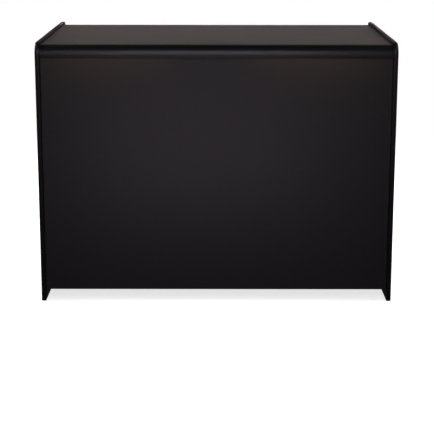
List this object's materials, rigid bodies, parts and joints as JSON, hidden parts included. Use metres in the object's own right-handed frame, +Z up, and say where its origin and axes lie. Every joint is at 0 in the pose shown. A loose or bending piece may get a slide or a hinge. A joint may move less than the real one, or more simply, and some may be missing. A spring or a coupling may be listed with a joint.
{
  "type": "shop counter",
  "caption": "Free-standing black shop counter: rounded-edge worktop between raised end panels, closed customer front, open staff side with a loose shelf.",
  "frame": {"origin": "centre of the footprint, on the floor", "axes": "+Z up, -Y towards the customer, +Y towards the open staff side, +X to the customer's right"},
  "size_m": [1.2, 0.725, 0.89],
  "materials": {
    "melamine": "black melamine-faced board, fine pearl grain, satin",
    "worktop": "black melamine-faced board, fine pearl grain, satin",
    "nosing": "black foil wrapped on a shaped rail, semi-gloss",
    "edging": "black extruded edging, semi-gloss",
    "edge_strip": "black edge strip, satin",
    "hardboard": "bare hardboard",
    "zinc": "cast zinc, dull",
    "steel": "bright plated steel",
    "dowel": "bare beech",
    "glide": "black nylon"
  },
  "bodies": {
    "carcass": {"base_shelf": "melamine", "base_shelf_cam_bolt_left_front": "steel", "base_shelf_cam_bolt_left_rear": "steel", "base_shelf_cam_bolt_right_front": "steel", "base_shelf_cam_bolt_right_rear": "steel", "base_shelf_cam_lock_left_front": "zinc", "base_shelf_cam_lock_left_rear": "zinc", "base_shelf_cam_lock_right_front": "zinc", "base_shelf_cam_lock_right_rear": "zinc", "base_shelf_dowel_left": "dowel", "base_shelf_dowel_right": "dowel", "base_shelf_edging": "edge_strip", "floor_glide_left_front": "glide", "floor_glide_left_rear": "glide", "floor_glide_right_front": "glide", "floor_glide_right_rear": "glide", "front_nosing": "nosing", "front_nosing_tongue": "hardboard", "front_panel": "melamine", "front_panel_cam_bolt_left_bottom": "steel", "front_panel_cam_bolt_left_top": "steel", "front_panel_cam_bolt_right_bottom": "steel", "front_panel_cam_bolt_right_top": "steel", "front_panel_cam_lock_left_bottom": "zinc", "front_panel_cam_lock_left_top": "zinc", "front_panel_cam_lock_right_bottom": "zinc", "front_panel_cam_lock_right_top": "zinc", "front_panel_dowel_left": "dowel", "front_panel_dowel_right": "dowel", "front_panel_edging": "edge_strip", "left_end_edging": "edging", "left_end_panel": "melamine", "rear_nosing": "nosing", "rear_nosing_tongue": "hardboard", "rear_plinth": "melamine", "rear_plinth_dowel_left_bottom": "dowel", "rear_plinth_dowel_left_top": "dowel", "rear_plinth_dowel_right_bottom": "dowel", "rear_plinth_dowel_right_top": "dowel", "rear_plinth_edging": "edge_strip", "right_end_edging": "edging", "right_end_panel": "melamine", "shelf_peg_left_front": "steel", "shelf_peg_left_rear": "steel", "shelf_peg_right_front": "steel", "shelf_peg_right_rear": "steel", "worktop": "worktop", "worktop_cam_bolt_left_front": "steel", "worktop_cam_bolt_left_rear": "steel", "worktop_cam_bolt_right_front": "steel", "worktop_cam_bolt_right_rear": "steel", "worktop_cam_lock_left_front": "zinc", "worktop_cam_lock_left_rear": "zinc", "worktop_cam_lock_right_front": "zinc", "worktop_cam_lock_right_rear": "zinc", "worktop_dowel_left": "dowel", "worktop_dowel_right": "dowel"},
    "shelf": {"middle_shelf": "melamine", "middle_shelf_edging": "edge_strip"}
  },
  "joints": [
    {"name": "shelf_slide", "type": "slide", "parent": "carcass", "child": "shelf", "axis": [0, 1, 0], "range_m": [0, 0.695]}
  ]
}
